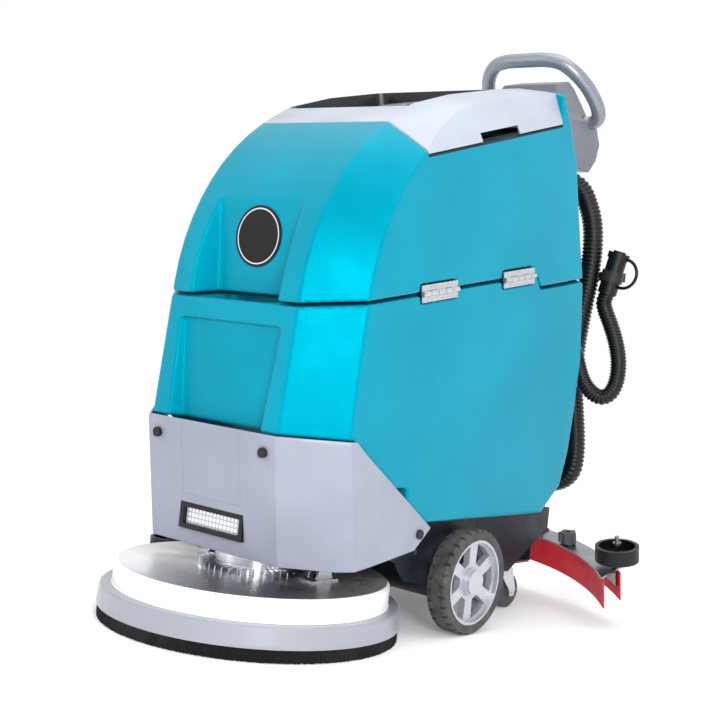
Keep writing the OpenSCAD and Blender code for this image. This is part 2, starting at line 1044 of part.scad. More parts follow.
// Opens the lid's lower side down to the tank
module lid_room_floor() {
    on_lid(lid_y0)
        block([-236, 8, -100], [236, lid_rear_y - lid_y0 + 8, lid_wall + eps]);
}

module lid_window() {
    place()
        color([0.8, 0.85, 0.9, 0.5])
            on_lid(window_at)
                difference() {
                    union() {
                        translate([0, 0, 44])
                            cylinder(h = 18, r = window_r);
                        translate([0, 0, 56.4])
                            cylinder(h = 9, r = window_r + 12);
                    }
                    translate([0, 0, 30])
                        cylinder(h = 28, r = window_r - 4);
                    difference() {
                        translate([0, 0, 62])
                            cylinder(h = 10, r = window_r + 4);
                        block([-8, -window_r - 10, 50], [8, window_r + 10, 65]);
                    }
                }
}

// Knuckles of the lid's hinge on the far side: 1 for the lid, 0 for the tank
module lid_lugs(of_lid) {
    for (y = lid_hinge_y)
        on_lid(y)
            difference() {
                for (i = [0:2])
                    if ((i == 1) == (of_lid == 1))
                        translate([lid_hinge_x, i * 16 - 24 + 0.3, 0]) {
                            rotate([-90, 0, 0])
                                cylinder(h = 15.4, r = 6);
                            if (of_lid == 1)
                                cube([14, 15.4, 6]);
                            else
                                translate([0, 0, -22])
                                    cube([12, 15.4, 20]);
                        }
                translate([lid_hinge_x, -40, 0])
                    rotate([-90, 0, 0])
                        cylinder(h = 80, r = 2.05);
            }
}

module lid_hinge_pin() {
    place()
        color([0.8, 0.8, 0.82])
            for (y = lid_hinge_y)
                on_lid(y)
                    translate([lid_hinge_x, -26, 0])
                        rotate([-90, 0, 0])
                            cylinder(h = 52, r = 2);
}

// ---- Drive wheels ----

module tyre() {
    translate([wheel_face_x - tyre_w, wheel_y, wheel_r])
        rotate([0, 90, 0])
            difference() {
                rotate_extrude()
                    polygon([
                        [rim_r, 0],
                        [wheel_r - 5, 0],
                        [wheel_r, 5],
                        [wheel_r, tyre_w - 5],
                        [wheel_r - 5, tyre_w],
                        [rim_r, tyre_w]]);
                for (a = [0:12:348])
                    rotate([0, 0, a]) {
                        translate([wheel_r - 4, -3, -1])
                            cube([20, 6, 15]);
                        rotate([0, 0, 6])
                            translate([wheel_r - 4, -3, tyre_w - 14])
                                cube([20, 6, 15]);
                    }
            }
}

module hub() {
    translate([wheel_face_x - tyre_w, wheel_y, wheel_r])
        rotate([0, 90, 0]) {
            difference() {
                cylinder(h = tyre_w - 1, r = rim_r);
                translate([0, 0, -1])
                    cylinder(h = 20, r = rim_r - 5);
                translate([0, 0, tyre_w - 12])
                    cylinder(h = 20, r = rim_r - 5);
                translate([0, 0, -1])
                    cylinder(h = tyre_w + 2, r = axle_r + running_gap);
                for (a = [0:60:300])
                    rotate([0, 0, a + 30])
                        linear_extrude(height = 100, center = true)
                            polygon([[36, -8], [70, -26], [74, 0], [70, 26], [36, 8]]);
            }
            difference() {
                cylinder(h = tyre_w - 6, r = 28);
                translate([0, 0, -1])
                    cylinder(h = tyre_w - 12, r = axle_r + running_gap);
            }
            translate([0, 0, tyre_w - 6.5])
                cylinder(h = 7.5, r = 24);
        }
}

module tyre_left() {
    place()
        color([0.37, 0.36, 0.35])
            tyre();
}

module hub_left() {
    place()
        color([0.8, 0.8, 0.82])
            hub();
}

module tyre_right() {
    place()
        color([0.37, 0.36, 0.35])
            mirror([1, 0, 0])
                tyre();
}

module hub_right() {
    place()
        color([0.8, 0.8, 0.82])
            mirror([1, 0, 0])
                hub();
}

// ---- Rear casters ----

module caster_plates() {
    place()
        color([0.75, 0.75, 0.77])
            both_sides() {
                block(
                    [caster_x - 44, caster_y - 46, caster_plate_z],
                    [caster_x + 44, caster_y + 46, caster_plate_z + 4]);
                // swivel bearing and its kingpin
                translate([caster_x, caster_y, caster_plate_z - 12])
                    cylinder(h = 13, r = 24);
                translate([caster_x, caster_y, caster_plate_z - 26])
                    cylinder(h = 20, r = kingpin_r);
            }
}

module caster_fork() {
    difference() {
        union() {
            translate([caster_x, caster_y, caster_r * 2 + 10])
                cylinder(h = 9.5, r = 26);
            for (s = [-1, 1])
                translate([caster_x + s * (caster_w / 2 + 4) - 2, caster_y, 0])
                    rotate([90, 0, 90])
                        linear_extrude(height = 4)
                            polygon([
                                [-24, caster_r * 2 + 12],
                                [26, caster_r * 2 + 12],
                                [caster_trail + 12, caster_r + 4],
                                [caster_trail + 8, caster_r - 10],
                                [caster_trail - 8, caster_r - 10],
                                [caster_trail - 12, caster_r + 4]]);
            block(
                [caster_x - caster_w / 2 - 6, caster_y - 24, caster_r * 2 + 10],
                [caster_x + caster_w / 2 + 6, caster_y + 26, caster_r * 2 + 15]);
            x_rod(
                caster_x - caster_w / 2 - 9, caster_x + caster_w / 2 + 9,
                caster_y + caster_trail, caster_r, caster_axle_r);
        }
        translate([caster_x, caster_y, 0])
            cylinder(h = 200, r = kingpin_r + running_gap);
    }
}

module caster_wheel() {
    bore = caster_axle_r + running_gap;
    translate([caster_x - caster_w / 2, caster_y + caster_trail, caster_r])
        rotate([0, 90, 0])
            rotate_extrude()
                polygon([
                    [bore, 0],
                    [14, 0],
                    [14, 3],
                    [caster_r - 9, 3],
                    [caster_r - 6, 1],
                    [caster_r, 6],
                    [caster_r, caster_w - 6],
                    [caster_r - 6, caster_w - 1],
                    [caster_r - 9, caster_w - 3],
                    [14, caster_w - 3],
                    [14, caster_w],
                    [bore, caster_w]]);
}

module caster_fork_left() {
    place()
        color([0.75, 0.75, 0.77])
            caster_fork();
}

module caster_wheel_left() {
    place()
        color([0.3, 0.3, 0.32])
            caster_wheel();
}

module caster_fork_right() {
    place()
        color([0.75, 0.75, 0.77])
            mirror([1, 0, 0])
                caster_fork();
}

module caster_wheel_right() {
    place()
        color([0.3, 0.3, 0.32])
            mirror([1, 0, 0])
                caster_wheel();
}

// ---- Brush deck ----

module deck_arms() {
    place()
        color([0.75, 0.76, 0.78]) {
            both_sides()
                difference() {
                    translate([arm_pivot[0] - 4, 0, 0])
                        rotate([90, 0, 90])
                            linear_extrude(height = 8)
                                polygon([
                                    [arm_pin[1] - 12, arm_pin[2] - 10],
                                    [arm_pivot[1] + 10, arm_pivot[2] - 14],
                                    [arm_pivot[1] + 16, arm_pivot[2] + 2],
                                    [arm_pivot[1] + 4, arm_pivot[2] + 14],
                                    [arm_pin[1] - 10, arm_pin[2] + 12]]);
                    x_rod(0, 200, arm_pin[1], arm_pin[2], arm_pin_r + running_gap);
                }
            x_rod(-chassis_half_w + 1, chassis_half_w - 1, arm_pivot[1], arm_pivot[2], pivot_r);
        }
}

module deck_housing() {
    place()
        color([0.86, 0.87, 0.88])
            rotate_extrude($fn = 180)
                polygon([
                    [deck_motor_r - 40, deck_top_z - 4],
                    [deck_r - 5, deck_top_z - 4],
                    [deck_r - 5, deck_step_z - 3],
                    [skirt_r - 4, deck_step_z - 3],
                    [skirt_r - 3, skirt_h],
                    [skirt_r + 3, skirt_h],
                    [skirt_r + 3, skirt_h + 6],
                    [skirt_r, deck_step_z - 3],
                    [skirt_r - 3, deck_step_z],
                    [deck_r + 2, deck_step_z],
                    [deck_r, deck_step_z + 3],
                    [deck_r, deck_top_z - 6],
                    [deck_r - 6, deck_top_z],
                    [deck_motor_r - 40, deck_top_z]]);
}

module deck_skirt() {
    place()
        color([0.05, 0.05, 0.05])
            difference() {
                cylinder(h = skirt_h, r = skirt_r + 1, $fn = 180);
                translate([0, 0, -1])
                    cylinder(h = skirt_h + 2, r = skirt_r - 6, $fn = 180);
            }
}

module deck_motor() {
    place()
        color([0.85, 0.86, 0.88]) {
            translate([0, 0, deck_top_z + fin_h])
                cylinder(h = 92, r = deck_motor_r);
            translate([0, 0, deck_top_z])
                cylinder(h = fin_h + 1, r = deck_motor_r + 4);
            // shaft down to the brush
            translate([0, 0, brush_top_z + 0.4])
                cylinder(h = deck_top_z - brush_top_z, r = 16);
            // ring of cooling fins
            for (a = [0:9:351])
                rotate([0, 0, a])
                    translate([deck_motor_r, -1.25, deck_top_z])
                        cube([fin_r - deck_motor_r, 2.5, fin_h]);
        }
}

// Brackets for the lifting arms, with their pins
module deck_brackets() {
    place()
        color([0.75, 0.76, 0.78])
            both_sides() {
                for (s = [-1, 1])
                    translate([arm_pin[0] + s * 10 - 2, 0, 0])
                        rotate([90, 0, 90])
                            linear_extrude(height = 4)
                                polygon([
                                    [arm_pin[1] - 22, deck_top_z],
                                    [arm_pin[1] + 24, deck_top_z],
                                    [arm_pin[1] + 10, arm_pin[2] + 12],
                                    [arm_pin[1] - 10, arm_pin[2] + 12]]);
                block(
                    [arm_pin[0] - 20, arm_pin[1] - 40, deck_top_z],
                    [arm_pin[0] + 20, arm_pin[1] + 30, deck_top_z + 4]);
                x_rod(arm_pin[0] - 14, arm_pin[0] + 14, arm_pin[1], arm_pin[2], arm_pin_r);
            }
}

// Strap that carries the deck's wall roller
module roller_strap() {
    place()
        color([0.75, 0.76, 0.78]) {
            block([roller_at[0] - 12, roller_at[1] - 14, deck_top_z], [-200, roller_at[1] + 14, deck_top_z + 4]);
            translate([roller_at[0], roller_at[1], roller_at[2] - 14])
                cylinder(h = deck_top_z - roller_at[2] + 16, r = roller_pin_r);
            translate([roller_at[0], roller_at[1], roller_at[2] - 17])
                cylinder(h = 4, r = 9);
        }
}

module brush_block() {
    place()
        color([0.25, 0.3, 0.36])
            difference() {
                union() {
                    translate([0, 0, 30])
                        cylinder(h = 14, r = brush_r);
                    translate([0, 0, 43])
                        cylinder(h = brush_top_z - 43, r = 70);
                }
                translate([0, 0, 29])
                    cylinder(h = 10, r = 60);
            }
}

module brush_bristles() {
    place()
        color([0.1, 0.1, 0.12])
            for (r = [95:26:brush_r - 12])
                difference() {
                    cylinder(h = 30, r = r + 8);
                    translate([0, 0, -1])
                        cylinder(h = 32, r = r - 4);
                }
}

module deck_roller() {
    place()
        color([0.05, 0.05, 0.05])
            translate([roller_at[0], roller_at[1], roller_at[2] - 11])
                difference() {
                    cylinder(h = 22, r = 38);
                    translate([0, 0, 6])
                        cylinder(h = 30, r = 32);
                    translate([0, 0, -1])
                        cylinder(h = 40, r = roller_pin_r + running_gap);
                }
}

// ---- Squeegee ----

// Everything on the squeegee is drawn level and then raised about its pivot
module raised() {
    translate([0, pivot_y, pivot_z])
        rotate([squeegee_lift, 0, 0])
            translate([0, -pivot_y, -pivot_z])
                children();
}

// A curved wall along the squeegee's arc, from r0 to r1
module arc_wall(r0, r1, z0, z1, half_w) {
    translate([0, squeegee_mid_y, z0])
        intersection() {
            difference() {
                cylinder(h = z1 - z0, r = r1, $fn = 240);
                translate([0, 0, -1])
                    cylinder(h = z1 - z0 + 2, r = r0, $fn = 240);
            }
            block([-half_w, 0, 0], [half_w, 2000, z1 - z0]);
        }
}

module squeegee_carrier() {
    place()
        color([0.15, 0.19, 0.24])
            raised()
                difference() {
                    union() {
                        both_sides()
                            translate([62, 0, 0])
                                rotate([90, 0, 90])
                                    linear_extrude(height = 6)
                                        polygon([
                                            [pivot_y - 14, pivot_z - 12],
                                            [pivot_y - 10, pivot_z + 14],
                                            [pivot_y + 60, pivot_z + 4],
                                            [squeegee_apex_y - 130, 112],
                                            [squeegee_apex_y - 10, 90],
                                            [squeegee_apex_y - 10, plate_z + plate_t],
                                            [squeegee_apex_y - 60, plate_z + plate_t],
                                            [squeegee_apex_y - 140, 84]]);
                        block(
                            [-carrier_half_w, squeegee_apex_y - 60, plate_z + plate_t],
                            [carrier_half_w, squeegee_apex_y - 12, plate_z + 2 * plate_t]);
                        x_rod(-chassis_half_w + 1, chassis_half_w - 1, pivot_y, pivot_z, pivot_r);
                    }
                    translate([port_at[0], port_at[1], 0])
                        cylinder(h = 200, r = suction_d / 2 + 5);
                    for (x = [-knob_x[0], knob_x[0]])
                        translate([x, arc_y(x, 24), 0])
                            cylinder(h = 200, r = 5);
                }
}

function arc_y(x, inset) = squeegee_mid_y + sqrt(pow(squeegee_r - inset, 2) - x * x);

module squeegee_plate() {
    place()
        color([0.6, 0.6, 0.6])
            raised() {
                difference() {
                    union() {
                        arc_wall(squeegee_r - 46, squeegee_r + 2, plate_z, plate_z + plate_t, squeegee_half_w - 14);
                        arc_wall(squeegee_r - 42, squeegee_r - 39, 26, plate_z + 1, squeegee_half_w - 14);
                        arc_wall(squeegee_r - 5, squeegee_r - 1, 26, plate_z + 1, squeegee_half_w - 14);
                        translate([port_at[0], port_at[1], plate_z])
                            cylinder(h = port_h, r = suction_d / 2);
                        both_sides()
                            roller_bracket();
                    }
                    translate([port_at[0], port_at[1], 0])
                        cylinder(h = 200, r = suction_d / 2 - 4);
                    for (x = concat(knob_x, -knob_x))
                        translate([x, arc_y(x, 24), 0])
                            cylinder(h = 200, r = 4.2);
                }
            }
}

module roller_bracket() {
    translate([roller_pos[0], roller_pos[1], plate_z + 1])
        cylinder(h = 70, r = roller_pin_r);
    block(
        [roller_pos[0] - 16, roller_pos[1] - 50, plate_z],
        [roller_pos[0] + 8, roller_pos[1] + 12, plate_z + plate_t]);
    translate([roller_pos[0], roller_pos[1], roller_pos[2] + 18])
        cylinder(h = 5, r = 9);
    translate([roller_pos[0], roller_pos[1], plate_z + 2])
        cylinder(h = roller_pos[2] - 19 - plate_z - 2, r = 9);
}

module squeegee_blade_front() {
    place()
        color([0.8, 0.15, 0.22])
            raised()
                arc_wall(squeegee_r - 46, squeegee_r - 42, 0, plate_z - eps, squeegee_half_w - 6);
}

module squeegee_blade_rear() {
    place()
        color([0.8, 0.15, 0.22])
            raised()
                arc_wall(squeegee_r - 1, squeegee_r + 3, 0, plate_z - eps, squeegee_half_w);
}

module squeegee_roller() {
    translate([roller_pos[0], roller_pos[1], roller_pos[2] - 16])
        difference() {
            cylinder(h = 32, r = roller_r);
            translate([0, 0, 14])
                cylinder(h = 40, r = roller_r - 8);
            translate([0, 0, -1])
                cylinder(h = 8, r = roller_r - 8);
            translate([0, 0, -1])
                cylinder(h = 60, r = roller_pin_r + running_gap);
        }
}

module squeegee_roller_left() {
    place()
        color([0.05, 0.05, 0.05])
            raised()
                squeegee_roller();
}

module squeegee_roller_right() {
    place()
        color([0.05, 0.05, 0.05])
            raised()
                mirror([1, 0, 0])
                    squeegee_roller();
}

module squeegee_knobs() {
    place()
        color([0.3, 0.3, 0.32])
            raised()
                for (x = concat(knob_x, -knob_x))
                    translate([x, arc_y(x, 24), plate_z + (abs(x) < carrier_half_w ? 2 : 1) * plate_t])
                        difference() {
                            union() {
                                cylinder(h = 26, r = 15);
                                translate([0, 0, -22])
                                    cylinder(h = 23, r = 4);
                                for (a = [0:72:288])
                                    rotate([0, 0, a])
                                        translate([14, 0, 4])
                                            cylinder(h = 21, r = 7);
                            }
                            translate([0, 0, 20])
                                cylinder(h = 10, r = 6);
                        }
}

// ---- Hoses ----

// Frame of a hose section: its tangent, and two directions across it
function unit(v) = v / norm(v);
function tangent(p, i) = unit(p[min(i + 1, len(p) - 1)] - p[max(i - 1, 0)]);
function across(t) = unit(cross(t, abs(t[1]) > 0.9 ? [1, 0, 0] : [0, 1, 0]));

// A plain tube through a route's points, with a ring at each point
module hose(route, d) {
    n = 12;
    rings = [for (i = [0:len(route) - 1])
        let (t = tangent(route, i), u = across(t), v = cross(t, u))
        for (k = [0:n - 1])
            route[i] + d / 2 * (u * cos(360 * k / n) + v * sin(360 * k / n))];
    last = len(route) - 1;
    sides = [for (i = [0:last - 1], k = [0:n - 1])
        [i * n + k, i * n + (k + 1) % n, (i + 1) * n + (k + 1) % n, (i + 1) * n + k]];
    triangles = [for (q = sides) each [[q[0], q[1], q[2]], [q[0], q[2], q[3]]]];
    ends = [[for (k = [n - 1:-1:0]) k], [for (k = [0:n - 1]) last * n + k]];
    polyhedron(points = rings, faces = concat(triangles, ends));
}

module suction_hose() {
    place()
        color([0.04, 0.04, 0.04])
            hose(suction_route, suction_d);
}

module drain_hose() {
    place()
        color([0.04, 0.04, 0.04])
            hose(drain_route, drain_d);
}

// Rubber cuffs between the tank's spigots and the hoses
module hose_cuffs() {
    place()
        color([0.03, 0.03, 0.03])
            for (s = tank_spigots)
                difference() {
                    rod([s[0], s[2] + 0.4, s[3]], [s[0], s[2] + cuff_l + 4, s[3]], s[4] / 2 + spigot_wall);
                    rod([s[0], s[2] - 1, s[3]], [s[0], s[2] + cuff_l, s[3]], s[4] / 2 - spigot_wall);
                    // seat of the hose
                    rod([s[0], s[2] + cuff_l, s[3]], [s[0], s[2] + cuff_l + 20, s[3]], s[4] / 2 + 0.1);
                }
}

module drain_cuff() {
    place()
        color([0.04, 0.04, 0.04])
            difference() {
                rod(cuff_foot, cuff_top, drain_d / 2 + 3);
                rod(cuff_foot + 10 * cuff_axis, cuff_top + 10 * cuff_axis, drain_d / 2 - 1);
            }
}

module drain_cap() {
    place()
        color([0.04, 0.04, 0.04]) {
            rod(cuff_top, cuff_top + cuff_axis * 14, drain_d / 2 + 6);
            rod(cuff_top + cuff_axis * 13, cuff_top + cuff_axis * 18, drain_d / 2 - 4);
        }
}

// Loop that keeps the cap with its cuff
module drain_strap() {
    place()
        color([0.04, 0.04, 0.04])
            translate([258, 815, 747])
                rotate([90, 0, 0])
                    rotate([0, 0, -112])
                        rotate_extrude(angle = 186)
                            translate([32, 0])
                                circle(r = 3.5, $fn = 24);
}

// Bracket on the column that holds the drain hose up by its cuff
module hose_hanger() {
    ring_low = cuff_foot + 28 * cuff_axis;
    ring_high = cuff_foot + 52 * cuff_axis;
    arm_z = [730, 750];
    place()
        color([0.1, 0.1, 0.11])
            difference() {
                union() {
                    rod(ring_low, ring_high, drain_d / 2 + 6.5);
                    block([column_half_w - 30, column_y[1], arm_z[0]], [column_half_w - 4, column_y[1] + 5, arm_z[1]]);
                    block([column_half_w - 12, column_y[1], arm_z[0]], [column_half_w - 7, 852, arm_z[1]]);
                    block([column_half_w - 12, 847, arm_z[0]], [244, 852, arm_z[1]]);
                    block([236, 834, arm_z[0]], [244, 852, arm_z[1]]);
                }
                rod(ring_low - 20 * cuff_axis, ring_high + 20 * cuff_axis, drain_d / 2 + 3 + running_gap);
            }
}

// ---- Nodes ----

chassis_frame();
drive_axle();
battery_left();
battery_right();
vacuum_motor();
solution_tank();
filler_strainer();
front_cover();
light_frame();
light_lens();
cover_screws();
rear_column();
console_body();
console_panel();
handle_tube();
hose_hanger();
tank_hinge_lower();
tank_hinge_pins();
caster_plates();
suction_hose();
hose_cuffs();
drain_hose();
drain_cuff();
drain_cap();
drain_strap();
key_switch();
button_brush();
button_vacuum();
recovery_tank();
tank_badge();
tank_hinge_upper();
float_cage();
float_ball();
tank_lid();
lid_window();
lid_hinge_pin();
tyre_left();
hub_left();
tyre_right();
hub_right();
caster_fork_left();
caster_wheel_left();
caster_fork_right();
caster_wheel_right();
deck_arms();
deck_housing();
deck_skirt();
deck_motor();
deck_brackets();
roller_strap();
brush_block();
brush_bristles();
deck_roller();
squeegee_carrier();
squeegee_plate();
squeegee_blade_front();
squeegee_blade_rear();
squeegee_roller_left();
squeegee_roller_right();
squeegee_knobs();
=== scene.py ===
"""Looks of the walk-behind floor scrubber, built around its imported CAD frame."""

import json
import math

import bmesh
import bpy
import numpy as np
from mathutils import Matrix, Vector


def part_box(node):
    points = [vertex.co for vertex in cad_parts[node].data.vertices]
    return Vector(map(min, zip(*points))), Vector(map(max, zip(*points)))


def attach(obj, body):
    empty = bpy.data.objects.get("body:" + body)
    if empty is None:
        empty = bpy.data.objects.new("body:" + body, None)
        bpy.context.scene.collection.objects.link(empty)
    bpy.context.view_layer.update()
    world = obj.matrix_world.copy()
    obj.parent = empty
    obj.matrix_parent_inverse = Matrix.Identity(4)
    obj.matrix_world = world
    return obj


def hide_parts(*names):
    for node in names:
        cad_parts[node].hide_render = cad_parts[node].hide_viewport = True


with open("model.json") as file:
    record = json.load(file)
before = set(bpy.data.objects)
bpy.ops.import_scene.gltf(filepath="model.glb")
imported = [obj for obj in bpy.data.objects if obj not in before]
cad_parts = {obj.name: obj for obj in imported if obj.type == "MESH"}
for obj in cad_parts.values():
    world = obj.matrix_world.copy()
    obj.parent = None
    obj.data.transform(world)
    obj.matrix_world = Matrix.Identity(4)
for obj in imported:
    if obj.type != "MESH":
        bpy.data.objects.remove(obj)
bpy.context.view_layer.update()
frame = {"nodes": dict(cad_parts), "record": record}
NODES = frame["nodes"]
SCENE = bpy.context.scene

# The CAD draws the machine from its brush centre, which lies this far from the frame's origin
BRUSH_Y = -0.3025


# ---- Camera ----

CAMERA_AZ, CAMERA_EL, CAMERA_ROLL = 40.0, 1.5, -6.0
CAMERA_OFFSET = (0.1772, 0.5111, 2.5159)
FOCAL_MM = 67.1
SENSOR_MM = 36
LENS_SHIFT = (0.025, -0.0136)


def camera_axes(azimuth, elevation, roll):
    """Right, up and back of the camera, as the rows of a matrix."""
    a, e, r = (math.radians(v) for v in (azimuth, elevation, roll))
    back = Vector((math.sin(a) * math.cos(e), -math.cos(a) * math.cos(e), math.sin(e)))
    right = Vector((math.cos(a), math.sin(a), 0))
    up = back.cross(right)
    right, up = (
        right * math.cos(r) - up * math.sin(r),
        right * math.sin(r) + up * math.cos(r),
    )
    return Matrix((right, up, back))


def make_camera():
    axes = camera_axes(CAMERA_AZ, CAMERA_EL, CAMERA_ROLL)
    place = axes.transposed() @ Vector(CAMERA_OFFSET) + Vector((0, BRUSH_Y, 0))
    data = bpy.data.cameras.new("camera")
    data.lens = FOCAL_MM
    data.sensor_width = SENSOR_MM
    data.shift_x, data.shift_y = LENS_SHIFT
    data.clip_end = 100
    camera = bpy.data.objects.new("camera", data)
    SCENE.collection.objects.link(camera)
    camera.matrix_world = Matrix.Translation(place) @ axes.transposed().to_4x4()
    SCENE.camera = camera


make_camera()


# ---- Materials ----


def linear(color):
    """An sRGB colour, 0 to 255, as linear light."""
    out = []
    for c in color:
        c = c / 255
        out.append(c / 12.92 if c <= 0.04045 else ((c + 0.055) / 1.055) ** 2.4)
    return (*out, 1)


class Nodes:
    """A short way to write a material's nodes."""

    def __init__(self, name):
        self.material = bpy.data.materials.new(name)
        self.material.use_nodes = True
        self.tree = self.material.node_tree
        self.shader = self.tree.nodes["Principled BSDF"]
        self.coords = self.add("ShaderNodeTexCoord").outputs["Object"]

    def add(self, kind, links=None, **settings):
        node = self.tree.nodes.new(kind)
        for key, value in settings.items():
            setattr(node, key, value)
        for key, value in (links or {}).items():
            self.put(node.inputs[key], value)
        return node

    def put(self, socket, value):
        if isinstance(value, bpy.types.NodeSocket):
            self.tree.links.new(value, socket)
        else:
            socket.default_value = value

    def noise(self, scale, detail=3.0, rough=0.5, vector=None):
        links = {
            "Vector": vector or self.coords,
            "Scale": scale,
            "Detail": detail,
            "Roughness": rough,
        }
        return self.add("ShaderNodeTexNoise", links).outputs["Fac"]

    def mix(self, factor, a, b):
        node = self.add("ShaderNodeMix", data_type="RGBA")
        self.put(node.inputs["Factor"], factor)
        self.put(node.inputs["A"], a)
        self.put(node.inputs["B"], b)
        return node.outputs["Result"]

    def remap(self, value, low, high, from_low=0.35, from_high=0.65):
        links = {
            "Value": value,
            "From Min": from_low,
            "From Max": from_high,
            "To Min": low,
            "To Max": high,
        }
        return self.add("ShaderNodeMapRange", links).outputs["Result"]

    def math(self, operation, a, b=0.0):
        node = self.add("ShaderNodeMath", operation=operation)
        self.put(node.inputs[0], a)
        self.put(node.inputs[1], b)
        return node.outputs[0]

    def all_of(self, *values):
        """One where every value is one, otherwise nought."""
        out = values[0]
        for value in values[1:]:
            out = self.math("MULTIPLY", out, value)
        return out

    def bump(self, height, strength, distance, normal=None):
        links = {"Height": height, "Strength": strength, "Distance": distance}
        if normal:
            links["Normal"] = normal
        return self.add("ShaderNodeBump", links).outputs["Normal"]

    def finish(self, **values):
        """Set the shader's sockets, named with underscores for their spaces."""
        for key, value in values.items():
            self.put(self.shader.inputs[key.replace("_", " ")], value)
        return self.material


# Grain of plastic: how close it is, and its depth in metres
GRAIN_SCALE = 900.0
GRAIN_DEPTH = 0.00012

# Depth of the finer grain of metal and print, in metres
FINE_DEPTH = 0.0001

# How close the zinc crystals lie
SPANGLE_SCALE = 420.0


def moulded(name, color, dark, rough, coat=0.0):
    """Moulded plastic or rubber: slight clouding, varied gloss and a fine grain."""
    n = Nodes(name)
    cloud = n.noise(6.0, 4.0)
    base = n.mix(n.remap(cloud, 0.0, 1.0), linear(dark), linear(color))
    fine = n.noise(GRAIN_SCALE, 2.0)
    gloss = n.remap(n.noise(22.0, 3.0), rough * 0.85, rough * 1.2)
    normal = n.bump(fine, 0.35, GRAIN_DEPTH, n.bump(n.noise(14.0, 1.0), 0.12, 0.0012))
    return n.finish(
        Base_Color=base,
        Roughness=gloss,
        Normal=normal,
        Specular_IOR_Level=0.35,
        Coat_Weight=coat,
        Coat_Roughness=0.12,
    )


def metal(name, color, dark, rough, grain=(60.0, 60.0, 60.0), metallic=1.0):
    """Metal with rolled or cast grain: stretched noise for its brightness and gloss."""
    n = Nodes(name)
    stretched = n.add("ShaderNodeMapping", {"Vector": n.coords, "Scale": grain}).outputs["Vector"]
    streaks = n.noise(6.0, 5.0, 0.6, stretched)
    base = n.mix(n.remap(streaks, 0.0, 1.0), linear(dark), linear(color))
    gloss = n.remap(n.noise(16.0, 4.0), rough * 0.75, rough * 1.3)
    normal = n.bump(streaks, 0.3, FINE_DEPTH)
    return n.finish(Base_Color=base, Roughness=gloss, Normal=normal, Metallic=metallic)


def spangled(name, color, dark, rough):
    """Galvanised sheet: flat crystals of zinc, each with its own brightness and gloss."""
    n = Nodes(name)
    cells = n.add("ShaderNodeTexVoronoi", {"Vector": n.coords, "Scale": SPANGLE_SCALE})
    value = n.add("ShaderNodeSeparateColor", {"Color": cells.outputs["Color"]}).outputs["Red"]
    base = n.mix(value, linear(dark), linear(color))
    gloss = n.remap(value, rough * 0.8, rough * 1.3, 0.0, 1.0)
    normal = n.bump(n.noise(200.0, 2.0), 0.2, FINE_DEPTH)
    return n.finish(Base_Color=base, Roughness=gloss, Normal=normal, Metallic=1.0)


# The lid's lower edge: a point on it and its rise for each metre to the rear
LID_EDGE_Y, LID_EDGE_Z = 0.086 + BRUSH_Y, 0.895
LID_SLOPE = math.tan(math.radians(16.5))

# The seal's depth below and above that edge, and where it starts and ends along the tank
SEAL_BELOW, SEAL_ABOVE = 0.0065, 0.003
SEAL_START_Y, SEAL_END_Y = 0.088 + BRUSH_Y, 0.53 + BRUSH_Y

# The seal's front: its foremost strip, and a height, lean and place for each of the two
# faces that bound it, the tank's nose and the lid's front wall
SEAL_FRONT_Y = 0.092 + BRUSH_Y
NOSE_Z, NOSE_LEAN, NOSE_Y = 0.896, 0.444, 0.0885 + BRUSH_Y
WALL_Z, WALL_Y = 0.941, 0.0685 + BRUSH_Y


def seal_mask(n, y, z):
    """One on the seal along the lid's lower edge and round its front, otherwise nought."""
    rise = n.math("MULTIPLY", n.math("SUBTRACT", y, LID_EDGE_Y), LID_SLOPE)
    above = n.math("SUBTRACT", n.math("SUBTRACT", z, LID_EDGE_Z), rise)
    side = n.all_of(
        n.math("GREATER_THAN", above, -SEAL_BELOW),
        n.math("LESS_THAN", above, SEAL_ABOVE),
        n.math("GREATER_THAN", y, SEAL_START_Y),
        n.math("LESS_THAN", y, SEAL_END_Y),
    )
    nose = n.math("ADD", y, n.math("MULTIPLY", n.math("SUBTRACT", z, NOSE_Z), NOSE_LEAN))
    wall = n.math("ADD", y, n.math("MULTIPLY", n.math("SUBTRACT", z, WALL_Z), LID_SLOPE))
    front = n.all_of(
        n.math("LESS_THAN", y, SEAL_FRONT_Y),
        n.math("GREATER_THAN", nose, NOSE_Y),
        n.math("GREATER_THAN", wall, WALL_Y),
    )
    return n.math("MAXIMUM", side, front)


def shell_material(name, sealed):
    """Glossy teal plastic. A sealed shell has a dark seal along the lid's lower edge."""
    n = Nodes(name)
    cloud = n.remap(n.noise(5.0, 4.0), 0.0, 1.0)
    base = n.mix(cloud, linear((0, 128, 152)), linear((0, 138, 164)))
    if sealed:
        place = n.add("ShaderNodeSeparateXYZ", {"Vector": n.coords})
        seal = seal_mask(n, place.outputs["Y"], place.outputs["Z"])
        base = n.mix(seal, base, linear((6, 8, 10)))
    fine = n.bump(n.noise(1400.0, 2.0), 0.25, 0.00006, n.bump(n.noise(9.0, 1.0), 0.1, 0.0015))
    return n.finish(
        Base_Color=base,
        Roughness=n.remap(n.noise(20.0, 3.0), 0.3, 0.38),
        Normal=fine,
        Specular_IOR_Level=0.6,
        Specular_Tint=linear((0, 236, 255)),
    )


# The deck's levels: the top of its painted rim and the top of its white ring
RIM_TOP_Z = 0.0625
RING_TOP_Z = 0.1042


